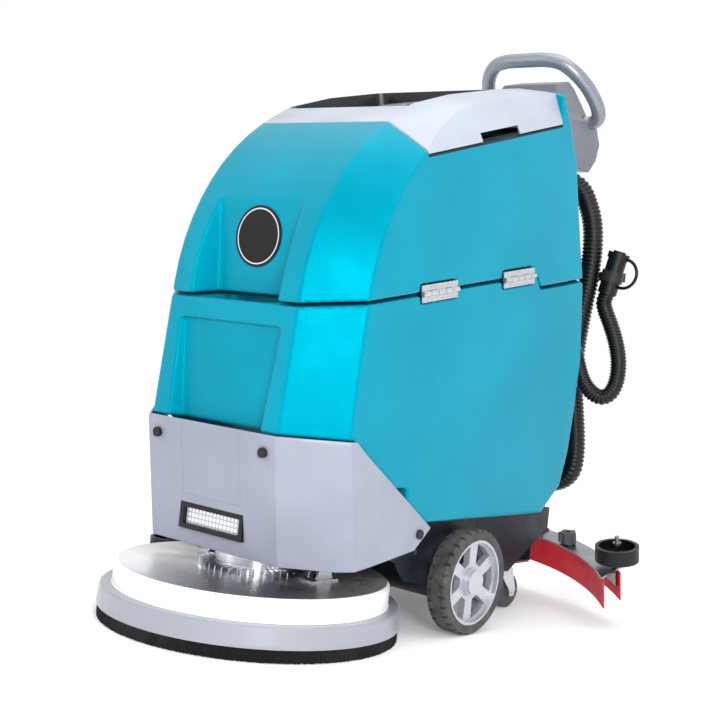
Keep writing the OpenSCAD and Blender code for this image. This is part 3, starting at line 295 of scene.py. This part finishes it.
def deck_material():
    """Brush deck: brushed top plate with painted sheen, white upper ring and grey painted rim."""
    n = Nodes("deck_shell")
    place = n.add("ShaderNodeSeparateXYZ", {"Vector": n.coords})
    from_middle = n.add("ShaderNodeVectorMath", operation="SUBTRACT")
    n.put(from_middle.inputs[0], n.coords)
    n.put(from_middle.inputs[1], (0.0, BRUSH_Y, 0.0))
    flat = n.add("ShaderNodeSeparateXYZ", {"Vector": from_middle.outputs[0]})
    # painted sheen: the top plate's colour runs from dark grey to white and back twice round the
    # middle
    turn = n.math("ARCTAN2", flat.outputs["Y"], flat.outputs["X"])
    sheen = n.math("SINE", n.math("MULTIPLY", turn, 2.0))
    painted_sheen = n.remap(sheen, 0.0, 1.0, -1.0, 1.0)
    plate = n.mix(painted_sheen, linear((110, 112, 118)), linear((244, 245, 247)))
    cloud = n.noise(9.0, 4.0)
    ring = n.mix(cloud, linear((240, 241, 243)), linear((250, 250, 251)))
    rim = n.mix(cloud, linear((146, 149, 158)), linear((160, 163, 171)))
    low = n.math("LESS_THAN", place.outputs["Z"], RIM_TOP_Z)
    top = n.math("GREATER_THAN", place.outputs["Z"], RING_TOP_Z)
    base = n.mix(top, n.mix(low, ring, rim), plate)
    return n.finish(
        Base_Color=base,
        Metallic=n.math("ADD", n.math("MULTIPLY", top, 0.75), n.math("MULTIPLY", low, 0.2)),
        Roughness=n.remap(n.noise(18.0, 3.0), 0.26, 0.36),
        Normal=n.bump(n.noise(420.0, 2.0), 0.15, FINE_DEPTH),
    )


# The recess in the lid's top, measured from the middle of the window along and out of the slope
WINDOW_Y = 0.336 + BRUSH_Y
RECESS_HALF_WIDTH = 0.1506
RECESS_FLOOR = 0.0552
RECESS_FRONT, RECESS_REAR = -0.1906, 0.1006


def lid_material():
    """Light grey plastic, with painted shade coloured into the recess of its top."""
    n = Nodes("lid_grey")
    place = n.add("ShaderNodeSeparateXYZ", {"Vector": n.coords})
    x, y, z = (place.outputs[axis] for axis in "XYZ")
    # the recess's own frame: along the lid's slope and out of it, from the window's middle
    out_y = n.math("SUBTRACT", y, WINDOW_Y)
    out_z = n.math("SUBTRACT", z, LID_EDGE_Z + (WINDOW_Y - LID_EDGE_Y) * LID_SLOPE)
    lean = math.atan(LID_SLOPE)
    along = n.math(
        "ADD", n.math("MULTIPLY", out_y, math.cos(lean)), n.math("MULTIPLY", out_z, math.sin(lean))
    )
    height = n.math(
        "SUBTRACT",
        n.math("MULTIPLY", out_z, math.cos(lean)),
        n.math("MULTIPLY", out_y, math.sin(lean)),
    )
    # painted shade: the recess in the top is coloured near black where shade falls
    sheet = n.all_of(
        n.math("LESS_THAN", n.math("ABSOLUTE", x), RECESS_HALF_WIDTH),
        n.math("GREATER_THAN", height, RECESS_FLOOR),
        n.math("GREATER_THAN", along, RECESS_FRONT),
        n.math("LESS_THAN", along, RECESS_REAR),
    )
    cloud = n.remap(n.noise(6.0, 4.0), 0.0, 1.0)
    shell = n.mix(cloud, linear((166, 172, 184)), linear((174, 181, 192)))
    dark = n.mix(cloud, linear((26, 28, 31)), linear((36, 38, 42)))
    waves = n.bump(n.noise(14.0, 1.0), 0.1, 0.0012)
    return n.finish(
        Base_Color=n.mix(sheet, shell, dark),
        Roughness=n.remap(n.noise(22.0, 3.0), 0.3, 0.42),
        Normal=n.bump(n.noise(GRAIN_SCALE, 2.0), 0.35, GRAIN_DEPTH, waves),
        Specular_IOR_Level=0.35,
    )


# The badge's ring: its radius as a share of the badge's, and half its width in metres
BADGE_RING_RADIUS = 0.9
BADGE_RING_HALF = 0.0012


def badge_material():
    """Black badge with a plain light ring inside its edge."""
    n = Nodes("badge_black")
    low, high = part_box("tank_badge")
    middle = (low + high) / 2
    shifted = n.add("ShaderNodeVectorMath", operation="SUBTRACT")
    n.put(shifted.inputs[0], n.coords)
    n.put(shifted.inputs[1], middle)
    flat = n.add("ShaderNodeVectorMath", operation="MULTIPLY")
    n.put(flat.inputs[0], shifted.outputs[0])
    n.put(flat.inputs[1], (1.0, 0.0, 1.0))
    radius = n.add("ShaderNodeVectorMath", operation="LENGTH")
    n.put(radius.inputs[0], flat.outputs[0])
    edge = (high.x - low.x) / 2
    off = n.math("ABSOLUTE", n.math("SUBTRACT", radius.outputs["Value"], edge * BADGE_RING_RADIUS))
    ring = n.math("LESS_THAN", off, BADGE_RING_HALF)
    black = n.mix(n.noise(30.0), linear((8, 6, 6)), linear((14, 11, 10)))
    color = n.mix(ring, black, linear((205, 205, 208)))
    return n.finish(
        Base_Color=color,
        Roughness=n.remap(n.noise(40.0), 0.35, 0.45),
        Specular_IOR_Level=0.25,
        Normal=n.bump(n.noise(700.0), 0.1, FINE_DEPTH),
    )


# How close the lamp's small lights lie
LAMP_SCALE = 110.0


def lamp_material():
    """Clear lamp lens over rows of small square lights."""
    n = Nodes("lamp_white")
    cells = n.add(
        "ShaderNodeTexVoronoi",
        {"Vector": n.coords, "Scale": LAMP_SCALE, "Randomness": 0.0},
        distance="CHEBYCHEV",
    )
    lit = n.remap(cells.outputs["Distance"], 1.0, 0.0, 0.15, 0.4)
    color = n.mix(lit, linear((150, 155, 165)), linear((250, 252, 255)))
    return n.finish(
        Base_Color=color,
        Roughness=n.remap(n.noise(50.0), 0.08, 0.2),
        Emission_Color=color,
        Emission_Strength=0.35,
        Coat_Weight=0.8,
    )


def window_material():
    """Clear plastic, slightly wavy and slightly clouded."""
    n = Nodes("clear_window")
    tint = n.mix(n.noise(20.0), linear((214, 222, 226)), linear((235, 240, 242)))
    return n.finish(
        Base_Color=tint,
        Roughness=n.remap(n.noise(60.0), 0.06, 0.14),
        Transmission_Weight=0.75,
        IOR=1.49,
        Normal=n.bump(n.noise(90.0), 0.05, 0.0003),
    )


def tyre_material():
    """Worn grey rubber, with patches of dust."""
    n = Nodes("tyre_grey")
    dust = n.noise(38.0, 6.0, 0.65)
    base = n.mix(n.remap(dust, 0.0, 1.0), linear((48, 46, 44)), linear((86, 83, 79)))
    normal = n.bump(n.noise(500.0, 3.0), 0.5, 0.0003, n.bump(dust, 0.2, 0.001))
    return n.finish(Base_Color=base, Roughness=n.remap(dust, 0.65, 0.9), Normal=normal)


MATERIALS = {
    "chassis_paint": moulded("chassis_paint", (24, 30, 42), (16, 20, 30), 0.45, 0.1),
    "drive_black": moulded("drive_black", (34, 34, 36), (22, 22, 24), 0.45),
    "battery_case": moulded("battery_case", (40, 40, 43), (28, 28, 30), 0.6),
    "motor_grey": metal("motor_grey", (96, 98, 104), (70, 72, 78), 0.4),
    "shell_teal": shell_material("shell_teal", False),
    "lid_grey": lid_material(),
    "cover_grey": moulded("cover_grey", (148, 153, 168), (138, 143, 158), 0.4, 0.1),
    "console_grey": moulded("console_grey", (118, 122, 130), (108, 112, 120), 0.42, 0.05),
    "black_plastic": moulded("black_plastic", (10, 10, 11), (6, 6, 7), 0.4),
    "lamp_white": lamp_material(),
    "clear_window": window_material(),
    "handle_metal": metal("handle_metal", (152, 155, 164), (134, 137, 146), 0.3, metallic=0.55),
    "galvanised": spangled("galvanised", (222, 223, 226), (190, 192, 197), 0.3),
    "bright_steel": metal("bright_steel", (226, 228, 232), (196, 198, 204), 0.2, (4.0, 4.0, 60.0)),
    "tyre_grey": tyre_material(),
    "hub_silver": metal("hub_silver", (196, 198, 204), (178, 180, 187), 0.3, metallic=0.45),
    "caster_rubber": moulded("caster_rubber", (84, 84, 88), (64, 64, 68), 0.6),
    "deck_shell": deck_material(),
    "bristle_black": moulded("bristle_black", (14, 14, 15), (5, 5, 6), 0.7),
    "brush_disc": moulded("brush_disc", (70, 86, 110), (56, 70, 92), 0.5),
    "blade_red": moulded("blade_red", (216, 26, 46), (196, 20, 38), 0.5),
    "roller_black": moulded("roller_black", (14, 14, 15), (8, 8, 9), 0.42),
    "squeegee_steel": metal(
        "squeegee_steel", (168, 170, 176), (136, 138, 146), 0.32, (3.0, 60.0, 60.0)
    ),
    "knob_grey": moulded("knob_grey", (84, 86, 92), (62, 64, 70), 0.5),
    "hose_black": moulded("hose_black", (14, 14, 15), (7, 7, 8), 0.3),
    "float_orange": moulded("float_orange", (240, 140, 40), (214, 112, 26), 0.3),
    "float_white": moulded("float_white", (224, 226, 230), (208, 210, 215), 0.45),
    "button_green": moulded("button_green", (40, 150, 70), (28, 126, 56), 0.3),
    "button_blue": moulded("button_blue", (50, 100, 180), (36, 80, 156), 0.3),
    "badge_black": badge_material(),
}
SLOT_OF = {part["node"]: part["material_slot"] for part in frame["record"]["subparts"]}
BODY_OF = {}
for body, names in frame["record"]["behaviour"]["bodies"].items():
    for name in names:
        BODY_OF[name] = body

for name, node in NODES.items():
    node.data.materials.clear()
    node.data.materials.append(MATERIALS[SLOT_OF[name]])


# ---- Pieces ----


def new_piece(name, mesh, node, smooth=True):
    """A piece that stands for a CAD node and takes its body and slot."""
    piece = bpy.data.objects.new(name, mesh)
    SCENE.collection.objects.link(piece)
    mesh.materials.clear()
    mesh.materials.append(MATERIALS[SLOT_OF[node]])
    mesh.polygons.foreach_set("use_smooth", [smooth] * len(mesh.polygons))
    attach(piece, BODY_OF[node])
    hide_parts(node)
    return piece


# Short steps drawn between two points of a route before they are evened out
CURVE_STEPS = 24

# Height of a hose rib's two shoulders, as a share of its groove's depth
RIB_SHOULDER = 0.35


def curve_points(route, step):
    """A smooth line through a route's points, about a step apart, and its length."""
    p = [Vector(q) for q in route]
    p = [2 * p[0] - p[1]] + p + [2 * p[-1] - p[-2]]
    dense = []
    for i in range(1, len(p) - 2):
        for k in range(CURVE_STEPS):
            t = k / CURVE_STEPS
            a, b, c, d = p[i - 1], p[i], p[i + 1], p[i + 2]
            dense.append(
                0.5
                * (
                    2 * b
                    + (c - a) * t
                    + (2 * a - 5 * b + 4 * c - d) * t * t
                    + (3 * b - a - 3 * c + d) * t**3
                )
            )
    dense.append(p[-2])
    lengths = [0.0]
    for a, b in zip(dense, dense[1:]):
        lengths.append(lengths[-1] + (b - a).length)
    count = max(2, round(lengths[-1] / step))
    line = []
    j = 0
    for i in range(count + 1):
        at = lengths[-1] * i / count
        while j < len(lengths) - 2 and lengths[j + 1] < at:
            j += 1
        gap = lengths[j + 1] - lengths[j]
        line.append(dense[j].lerp(dense[j + 1], (at - lengths[j]) / gap if gap else 0.0))
    return line, lengths[-1]


def tube(line, radii, sides=20):
    """A closed tube along a line, with its own radius at each point."""
    bm = bmesh.new()
    side = None
    rings = []
    for i, point in enumerate(line):
        along = (line[min(i + 1, len(line) - 1)] - line[max(i - 1, 0)]).normalized()
        if side is None:
            side = along.orthogonal().normalized()
        side = (side - along * side.dot(along)).normalized()
        other = along.cross(side)
        ring = []
        for k in range(sides):
            turn = 2 * math.pi * k / sides
            out = side * math.cos(turn) + other * math.sin(turn)
            ring.append(bm.verts.new(point + radii[i] * out))
        rings.append(ring)
    for a, b in zip(rings, rings[1:]):
        for k in range(sides):
            bm.faces.new((a[k], a[(k + 1) % sides], b[(k + 1) % sides], b[k]))
    bm.faces.new(rings[0][::-1])
    bm.faces.new(rings[-1])
    mesh = bpy.data.meshes.new("tube")
    bm.to_mesh(mesh)
    bm.free()
    return mesh


def ribbed_hose(name, node, route, diameter, pitch, depth):
    """A corrugated hose: its ribs are real rings along the centreline."""
    line, length = curve_points(route, pitch / 4)
    profile = (0.0, RIB_SHOULDER * depth, depth, RIB_SHOULDER * depth)
    radii = [diameter / 2 - profile[i % 4] for i in range(len(line))]
    piece = new_piece(name, tube(line, radii), node)


def in_frame(points):
    """Points in the CAD's millimetres, as points of the frame in metres."""
    return [(x / 1000, y / 1000 + BRUSH_Y, z / 1000) for x, y, z in points]


SUCTION_ROUTE = in_frame(
    [
        (118, 760, 940), (121, 773, 941), (132, 786, 937), (146, 795, 922), (158, 800, 898),
        (170, 802, 868), (178, 802, 836), (182, 802, 796), (182, 802, 760), (180, 802, 722),
        (175, 802, 680), (170, 802, 630), (166, 802, 570), (168, 802, 500), (178, 803, 440),
        (188, 804, 380), (191, 806, 335), (186, 808, 302), (168, 811, 280), (140, 813, 268),
        (108, 816, 263), (74, 818, 261), (46, 820, 255), (26, 821, 243), (15, 826.4, 224),
        (15, 831.2, 203.4),
    ]
)
DRAIN_ROUTE = in_frame(
    [
        (136, 776, 790), (136, 784, 789), (135, 795, 780), (134, 800, 762), (133, 798, 735),
        (134, 788, 705), (142, 772, 675), (154, 760, 645), (171, 756, 610), (187, 757, 575),
        (200, 758, 545), (210, 761, 518), (222, 768, 494), (238, 780, 477), (254, 791, 473),
        (268, 800, 486), (275, 806, 515), (273, 808, 555), (260, 810, 596), (242, 811, 633),
        (226, 811, 662), (220, 811, 681), (224, 812, 700),
    ]
)
ribbed_hose(
    "suction_hose_ribbed",
    "suction_hose",
    SUCTION_ROUTE,
    diameter=0.046,
    pitch=0.0088,
    depth=0.0032,
)
ribbed_hose(
    "drain_hose_ribbed",
    "drain_hose",
    DRAIN_ROUTE,
    diameter=0.036,
    pitch=0.0072,
    depth=0.0026,
)


# A bend stays sharp in the shading when the cosine across it falls short of one by more than this
TURN_LIMIT = 0.0014


def fair_normals(mesh, rounds):
    """Shading that runs smoothly over gentle bends and keeps the real edges."""
    count = len(mesh.vertices)
    flat = np.empty(count * 3)
    mesh.vertices.foreach_get("normal", flat)
    normals = flat.reshape(-1, 3)
    ends = np.empty(len(mesh.edges) * 2, int)
    mesh.edges.foreach_get("vertices", ends)
    a, b = ends.reshape(-1, 2).T
    for _ in range(rounds):
        weight = np.exp(-(1 - (normals[a] * normals[b]).sum(1)) / TURN_LIMIT)
        total = normals.copy()
        for i in range(3):
            total[:, i] += np.bincount(a, weight * normals[b, i], count)
            total[:, i] += np.bincount(b, weight * normals[a, i], count)
        normals = total / np.maximum(np.linalg.norm(total, axis=1), 1e-9)[:, None]
    mesh.polygons.foreach_set("use_smooth", [True] * len(mesh.polygons))
    mesh.normals_split_custom_set_from_vertices(normals.tolist())


def soften(node, voxel, rounds):
    """A moulded copy of a CAD shell: same form, with its edges rounded over."""
    mesh = NODES[node].data.copy()
    work = bpy.data.objects.new("work", mesh)
    SCENE.collection.objects.link(work)
    voxels = work.modifiers.new("voxels", "REMESH")
    voxels.mode = "VOXEL"
    voxels.voxel_size = voxel
    rounding = work.modifiers.new("rounding", "SMOOTH")
    rounding.iterations = rounds
    rounding.factor = 0.5
    graph = bpy.context.evaluated_depsgraph_get()
    done = bpy.data.meshes.new_from_object(work.evaluated_get(graph))
    bpy.data.objects.remove(work)
    piece = new_piece("moulded_" + node, done, node)
    fair_normals(piece.data, rounds=80)
    return piece


# Voxel sizes and rounds of smoothing: the more rounds, the rounder the edges
TANK_VOXEL = 0.003
TANK_ROUNDS = 10
CONSOLE_VOXEL = 0.0018
CONSOLE_ROUNDS = 16
upper = soften("recovery_tank", TANK_VOXEL, TANK_ROUNDS)
upper.data.materials[0] = shell_material("shell_teal_sealed", True)
soften("solution_tank", TANK_VOXEL, TANK_ROUNDS)
soften("console_body", CONSOLE_VOXEL, CONSOLE_ROUNDS)


# Points closer than this are one; edges that turn more are bevelled, and by this much
WELD_GAP = 0.00002
SHARP_TURN = 0.5
EDGE_BEVEL = 0.0012


def finer(node):
    """A CAD shell as it is, with its sharp edges bevelled and its bends shaded evenly."""
    mesh = NODES[node].data.copy()
    welded = bmesh.new()
    welded.from_mesh(mesh)
    bmesh.ops.remove_doubles(welded, verts=welded.verts, dist=WELD_GAP)
    shared = [edge for edge in welded.edges if len(edge.link_faces) == 2]
    bmesh.ops.bevel(
        welded,
        geom=[edge for edge in shared if edge.calc_face_angle(0) > SHARP_TURN],
        offset=EDGE_BEVEL,
        segments=2,
        profile=0.5,
        affect="EDGES",
        clamp_overlap=True,
    )
    welded.to_mesh(mesh)
    welded.free()
    piece = new_piece("rounded_" + node, mesh, node)
    fair_normals(piece.data, rounds=40)


finer("front_cover")
finer("tank_lid")


HANDLE_ROUTE = in_frame(
    [
        (96, 846, 1086), (116, 852, 1088), (134, 846, 1098), (141, 824, 1120), (134, 790, 1153),
        (116, 760, 1181), (88, 740, 1202), (54, 733, 1209), (18, 732, 1210), (-18, 732, 1210),
        (-54, 733, 1209), (-88, 740, 1202), (-116, 760, 1181), (-134, 790, 1153),
        (-141, 824, 1120), (-134, 846, 1098), (-116, 852, 1088), (-96, 846, 1086),
    ]
)
HANDLE_RADIUS = 0.016
handle_line, _ = curve_points(HANDLE_ROUTE, step=0.006)
handle_mesh = tube(handle_line, [HANDLE_RADIUS] * len(handle_line), sides=32)
new_piece("handle_bent", handle_mesh, "handle_tube")


# Bristles: the groove between two tufts, and how uneven their sides and their feet are
TUFT_GROOVE = 0.0016
SIDE_JITTER = 0.0004
FOOT_JITTER = 0.0022


def bristle_ring(name, node, rings, top, foot, count):
    """Rings of close bristles: upright ridges with uneven feet."""
    rng = np.random.default_rng(11)
    bm = bmesh.new()
    middle = Vector((0, BRUSH_Y, 0))
    for inner, outer in rings:
        loops = []
        jitter = rng.uniform(0, 1, (count * 2, 3))
        for k in range(count * 2):
            turn = math.pi * k / count
            out = Vector((math.cos(turn), math.sin(turn), 0))
            dent = TUFT_GROOVE if k % 2 else SIDE_JITTER * jitter[k][0]
            low = foot + FOOT_JITTER * jitter[k][1]
            loops.append(
                [
                    bm.verts.new(middle + out * (outer - dent) + Vector((0, 0, top))),
                    bm.verts.new(middle + out * (outer - dent) + Vector((0, 0, low))),
                    bm.verts.new(middle + out * (inner + dent) + Vector((0, 0, low))),
                    bm.verts.new(middle + out * (inner + dent) + Vector((0, 0, top))),
                ]
            )
        for k in range(len(loops)):
            a, b = loops[k], loops[(k + 1) % len(loops)]
            for i in range(4):
                j = (i + 1) % 4
                bm.faces.new((a[i], a[j], b[j], b[i]))
    mesh = bpy.data.meshes.new(name)
    bm.normal_update()
    bmesh.ops.recalc_face_normals(bm, faces=bm.faces)
    bm.to_mesh(mesh)
    bm.free()
    return new_piece(name, mesh, node, smooth=False)


# Inner and outer radius of each ring of bristles
SKIRT_RINGS = [(0.2745, 0.281)]
BRUSH_RINGS = [(r - 0.004, r + 0.008) for r in (0.095, 0.121, 0.147, 0.173, 0.199, 0.225)]
bristle_ring("skirt_bristles", "deck_skirt", SKIRT_RINGS, top=0.024, foot=0.0, count=620)
bristle_ring("disc_bristles", "brush_bristles", BRUSH_RINGS, top=0.03, foot=0.0, count=260)


# ---- Studio ----


FLOOR_HALF = 14


def make_floor():
    """A large sheet of white paper, glowing a little so that it stays white far off."""
    mesh = bpy.data.meshes.new("floor")
    signs = ((-1, -1), (1, -1), (1, 1), (-1, 1))
    corners = [(x * FLOOR_HALF, y * FLOOR_HALF, 0) for x, y in signs]
    mesh.from_pydata(corners, [], [(0, 1, 2, 3)])
    floor = bpy.data.objects.new("floor", mesh)
    SCENE.collection.objects.link(floor)
    n = Nodes("floor_paper")
    tone = n.mix(n.noise(3.0), linear((244, 245, 246)), linear((250, 250, 251)))
    glow = n.finish(Base_Color=tone, Roughness=0.9, Emission_Color=tone, Emission_Strength=0.12)
    mesh.materials.append(glow)


def softbox(name, place, aim, width, height, power):
    """A rectangular lamp at a place, turned to face a point."""
    data = bpy.data.lights.new(name, "AREA")
    data.shape = "RECTANGLE"
    data.size = width
    data.size_y = height
    data.energy = power
    lamp = bpy.data.objects.new(name, data)
    SCENE.collection.objects.link(lamp)
    lamp.location = place
    lamp.rotation_euler = (Vector(aim) - Vector(place)).to_track_quat("-Z", "Y").to_euler()


def make_world():
    """White surroundings, with colours shown as they are."""
    SCENE.view_settings.view_transform = "Standard"
    world = bpy.data.worlds.new("studio")
    SCENE.world = world
    world.use_nodes = True
    back = world.node_tree.nodes["Background"]
    back.inputs["Color"].default_value = (1, 1, 1, 1)
    back.inputs["Strength"].default_value = 1.0


make_floor()
make_world()
softbox("key", (3.0, -2.5, 1.5), (0.2, -0.2, 0.6), width=1.0, height=1.8, power=85)
softbox("front", (-1.8, -3.0, 1.6), (0, -0.2, 0.6), width=1.5, height=2.0, power=10)
softbox("top", (0.2, 0.2, 3.2), (0, 0, 0.6), width=2.4, height=2.4, power=30)
